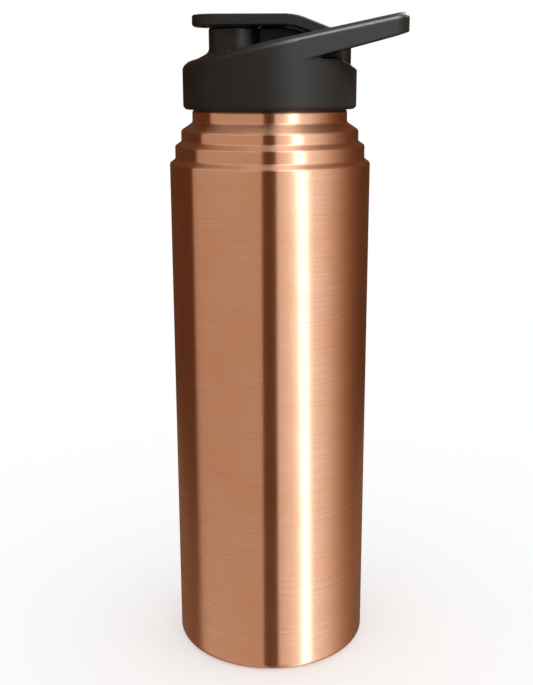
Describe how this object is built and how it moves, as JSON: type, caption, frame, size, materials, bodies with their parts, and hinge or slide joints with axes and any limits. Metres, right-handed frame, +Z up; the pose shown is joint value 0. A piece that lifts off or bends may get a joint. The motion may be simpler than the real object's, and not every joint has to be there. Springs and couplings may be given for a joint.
{
  "type": "copper water bottle",
  "caption": "Straight copper water bottle with a stepped shoulder and a black screw-on sipper lid that has a carry loop and a flip cap over its spout.",
  "frame": {"origin": "on the bottle's axis, in the plane that the bottle stands on", "axes": "+Z up along the bottle's axis, +X the way the carry loop points, +Y to the back when the loop points right"},
  "size_m": [0.0843, 0.073, 0.2387],
  "materials": {
    "brushed_copper": "circumferentially brushed, lacquered copper",
    "base_copper": "pressed copper with turned rings",
    "ring_copper": "turned copper",
    "black_lid": "satin moulded",
    "inner_plastic": "satin moulded",
    "spout_plastic": "satin moulded",
    "black_flip": "satin moulded",
    "clear_silicone": "translucent silicone",
    "black_silicone": "soft silicone",
    "pin_steel": "drawn stainless"
  },
  "bodies": {
    "bottle": {"bottle_shell": "brushed_copper", "base_pan": "base_copper", "neck_ring": "ring_copper"},
    "gasket": {"lid_gasket": "clear_silicone"},
    "lid": {"lid_shell": "black_lid", "inner_cap": "inner_plastic", "spout": "spout_plastic", "spout_seal": "clear_silicone", "hinge_pin": "pin_steel"},
    "flip": {"flip_cap": "black_flip", "spout_plug": "black_silicone", "vent_plug": "black_silicone"}
  },
  "joints": [
    {"name": "lid_rise", "type": "slide", "parent": "bottle", "child": "gasket", "axis": [0, 0, 1], "range_m": [0, 0.01262]},
    {"name": "lid_turn", "type": "hinge", "parent": "gasket", "child": "lid", "pos_m": [0, 0, 0.2063], "axis": [0, 0, 1], "range_deg": [0, 1260]},
    {"name": "flip_open", "type": "hinge", "parent": "lid", "child": "flip", "pos_m": [0.024, 0, 0.22966], "axis": [0, 1, 0], "range_deg": [0, 125]}
  ],
  "couplings": [
    {"joint": "lid_rise", "follows": "lid_turn", "m_per_rad": 0.00057296}
  ]
}
